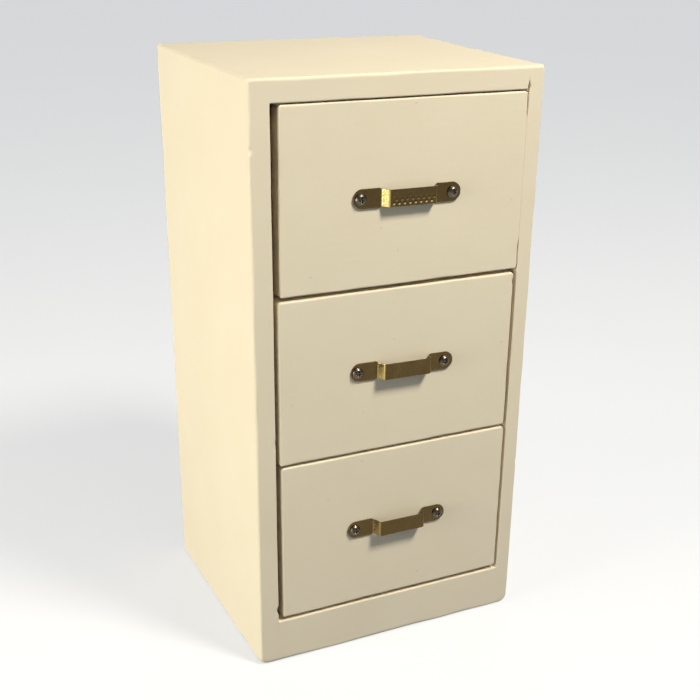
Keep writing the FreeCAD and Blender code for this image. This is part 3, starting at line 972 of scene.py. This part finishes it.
FLOOR_PALE = (0.31, 0.31, 0.31, 1.0)
FLOOR_GREY = (0.30, 0.30, 0.30, 1.0)
FLOOR_GLOW = 0.6
WALL_PALE = (0.66, 0.68, 0.7, 1.0)
WALL_GREY = (0.63, 0.65, 0.67, 1.0)
FLOOR_HALF = 4.0  # in metres, like the wall's radius and height
WALL_RADIUS = 3.9
WALL_HEIGHT = 6.0
WALL_SIDES = 96
WORLD_COLOUR = (0.735, 0.85, 1.0, 1.0)
WORLD_STRENGTH = 0.2
# Lamps: place and target in mm, diameter in mm, watts and colour.
LAMPS = {
    "key": ((105.0, -187.0, 320.0), (0.0, -16.0, 45.0), 87.0, 1.375, (1.0, 0.967, 0.873)),
    "left": ((-255.0, -30.0, 66.0), (-20.0, 0.0, 40.0), 130.0, 0.67, (1.0, 0.967, 0.846)),
}
# The sun behind: direction of travel, angle across in degrees, strength and colour.
SUN = ((-0.5, -0.86, -0.02), 30.0, 3.0, (1.0, 0.98, 0.95))


def make_floor():
    """A plain pale floor, lit a little from within so that it stays pale far from the lamps."""
    material, tree, shader = new_material("pale_floor")
    cloud = noise(tree, place_mm(tree), 0.02, 2.0)
    tone = mix_colour(tree, remap(tree, cloud, 0.3, 0.7), FLOOR_PALE, FLOOR_GREY)
    tree.links.new(tone, shader.inputs["Base Color"])
    shader.inputs["Roughness"].default_value = 0.8
    shader.inputs["Specular IOR Level"].default_value = 0.2
    shader.inputs["Emission Color"].default_value = (1.0, 1.0, 1.0, 1.0)
    shader.inputs["Emission Strength"].default_value = FLOOR_GLOW
    mesh = bpy.data.meshes.new("floor")
    half, drop = FLOOR_HALF, -0.02 * MM
    corners = [(-half, -half, drop), (half, -half, drop), (half, half, drop), (-half, half, drop)]
    mesh.from_pydata(corners, [], [(0, 1, 2, 3)])
    mesh.materials.append(material)
    floor = bpy.data.objects.new("floor", mesh)
    bpy.context.scene.collection.objects.link(floor)
    floor.visible_diffuse = False  # so that the pale floor throws no light up the front


def make_backdrop():
    """A plain pale wall all round, far away, that is seen but throws no light and no shadow."""
    material, tree, shader = new_material("pale_wall")
    cloud = noise(tree, place_mm(tree), 0.002, 2.0)
    tone = mix_colour(tree, remap(tree, cloud, 0.3, 0.7), WALL_PALE, WALL_GREY)
    tree.links.new(tone, shader.inputs["Emission Color"])
    shader.inputs["Emission Strength"].default_value = 1.0
    shader.inputs["Base Color"].default_value = (0.0, 0.0, 0.0, 1.0)
    shader.inputs["Specular IOR Level"].default_value = 0.0
    angles = np.linspace(0.0, 2.0 * math.pi, WALL_SIDES, endpoint=False)
    ring = np.stack([np.cos(angles), np.sin(angles)], axis=1) * WALL_RADIUS
    corners = [(x, y, z) for z in (-0.01, WALL_HEIGHT) for x, y in ring]
    mesh = bpy.data.meshes.new("backdrop")
    walls = []
    for i in range(WALL_SIDES):
        following = (i + 1) % WALL_SIDES
        walls.append((i, following, following + WALL_SIDES, i + WALL_SIDES))
    mesh.from_pydata(corners, [], walls)
    mesh.materials.append(material)
    backdrop = bpy.data.objects.new("backdrop", mesh)
    bpy.context.scene.collection.objects.link(backdrop)
    backdrop.visible_diffuse = False
    backdrop.visible_glossy = False
    backdrop.visible_shadow = False


def look_axes(direction):
    """Right, up and back directions of something that looks along a direction."""
    back = -np.asarray(direction, float)
    back = back / np.linalg.norm(back)
    right = np.cross((0.0, 0.0, 1.0), back)
    right = right / np.linalg.norm(right)
    return right, np.cross(back, right), back


def facing(direction):
    """The rotation of a lamp or a camera that looks along a direction."""
    return Matrix([list(r) for r in look_axes(direction)]).transposed()


def add_lamp(name, place, target, size, watts, colour):
    """A round soft lamp at a place in mm, facing a target in mm."""
    data = bpy.data.lights.new(name, "AREA")
    data.shape = "DISK"
    data.size = size * MM
    data.energy = watts
    data.color = colour
    lamp = bpy.data.objects.new(name, data)
    bpy.context.scene.collection.objects.link(lamp)
    lamp.visible_camera = False
    back = (np.array(place, float) - np.array(target, float)) * MM
    lamp.matrix_world = Matrix.Translation([c * MM for c in place]) @ facing(-back).to_4x4()


def add_sun(name, direction, angle, strength, colour):
    """Very distant soft light that travels along a direction."""
    data = bpy.data.lights.new(name, "SUN")
    data.angle = math.radians(angle)
    data.energy = strength
    data.color = colour
    sun = bpy.data.objects.new(name, data)
    sun.visible_glossy = False
    bpy.context.scene.collection.objects.link(sun)
    sun.matrix_world = facing(direction).to_4x4()


def make_lights():
    for name, settings in LAMPS.items():
        add_lamp(name, *settings)
    add_sun("behind", *SUN)
    world = bpy.data.worlds.new("soft_room")
    bpy.context.scene.world = world
    world.use_nodes = True
    background = world.node_tree.nodes["Background"]
    background.inputs["Color"].default_value = WORLD_COLOUR
    background.inputs["Strength"].default_value = WORLD_STRENGTH


CAMERA_PLACE = (-67.62, -146.28, 99.56)
CAMERA_LOOK = (0.4148, 0.813, -0.4087)
CAMERA_ROLL = 1.356  # degrees
LENS = 60.65  # on a sensor 36 mm wide
SHIFT = (-0.05, 0.1)


def make_camera():
    data = bpy.data.cameras.new("camera")
    data.lens = LENS
    data.sensor_width = 36.0
    data.shift_x, data.shift_y = SHIFT
    data.clip_start = 0.005
    data.clip_end = 20.0
    camera = bpy.data.objects.new("camera", data)
    bpy.context.scene.collection.objects.link(camera)
    turned = facing(CAMERA_LOOK) @ Matrix.Rotation(math.radians(CAMERA_ROLL), 3, "Z")
    place = Matrix.Translation([c * MM for c in CAMERA_PLACE])
    camera.matrix_world = place @ turned.to_4x4()
    bpy.context.scene.camera = camera


# ---- Everything together -------------------------------------------------------------------------

make_side_panels()
make_cross_boards()
make_inner_boards()
for drawer, drawer_seed in DRAWER_SEEDS.items():
    make_drawer_front(drawer, drawer_seed)
    make_drawer_box(drawer, drawer_seed + 10)
    make_pull(drawer)
    make_screw(drawer, "left")
    make_screw(drawer, "right")
make_floor()
make_backdrop()
make_lights()
make_camera()
bpy.context.scene.view_settings.view_transform = "Standard"
